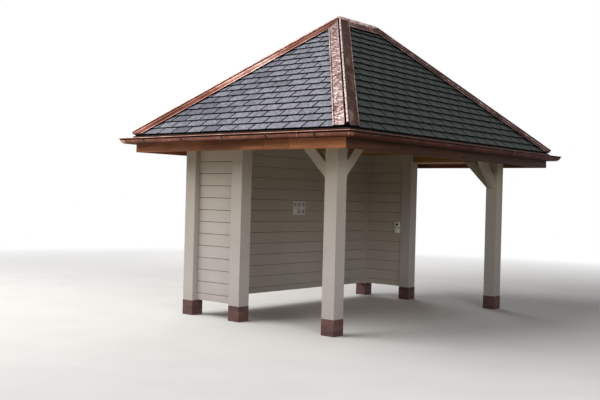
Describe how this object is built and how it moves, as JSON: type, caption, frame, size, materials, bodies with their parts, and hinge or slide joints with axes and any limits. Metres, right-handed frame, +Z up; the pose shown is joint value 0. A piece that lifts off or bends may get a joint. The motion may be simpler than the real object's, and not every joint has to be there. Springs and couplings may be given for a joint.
{
  "type": "open-fronted garden shelter",
  "caption": "Rectangular open-fronted garden shelter: posts on brick plinths, boarded back and side walls, and a hipped slate roof with copper caps and gutters.",
  "frame": {"origin": "on the ground at the middle of the plan", "axes": "+Z up, +X along the long side to the right seen from the open front, +Y from the open front to the back wall"},
  "size_m": [6.02, 4.3, 4.633],
  "materials": {
    "brick": "rough dark red brick",
    "painted_wood": "warm grey satin paint on boards and posts",
    "stained_wood": "red-brown stained cedar",
    "slate": "split grey roofing slate",
    "copper": "new copper sheet, slightly dulled and rippled"
  },
  "bodies": {
    "root": {"plinth_front_left": "brick", "plinth_front_right": "brick", "plinth_back_left": "brick", "plinth_back_right": "brick", "plinth_left_wing": "brick", "plinth_right_wing": "brick", "post_front_left": "painted_wood", "post_front_right": "painted_wood", "post_back_left": "painted_wood", "post_back_right": "painted_wood", "post_left_wing": "painted_wood", "post_right_wing": "painted_wood", "brace_left_front": "painted_wood", "brace_left_side": "painted_wood", "brace_right_front": "painted_wood", "brace_right_side": "painted_wood", "back_wall": "painted_wood", "left_wing_wall": "painted_wood", "right_wing_wall": "painted_wood", "beam_front": "stained_wood", "beam_right": "stained_wood", "beam_back": "stained_wood", "beam_left": "stained_wood", "ceiling": "stained_wood", "soffit_front": "stained_wood", "soffit_right": "stained_wood", "soffit_back": "stained_wood", "soffit_left": "stained_wood", "fascia_front": "stained_wood", "fascia_right": "stained_wood", "fascia_back": "stained_wood", "fascia_left": "stained_wood", "roof_front": "slate", "roof_right": "slate", "roof_back": "slate", "roof_left": "slate", "hip_cap_front_left": "copper", "hip_cap_front_right": "copper", "hip_cap_back_left": "copper", "hip_cap_back_right": "copper", "ridge_cap": "copper", "gutter_front": "copper", "gutter_right": "copper", "gutter_back": "copper", "gutter_left": "copper"}
  },
  "joints": []
}
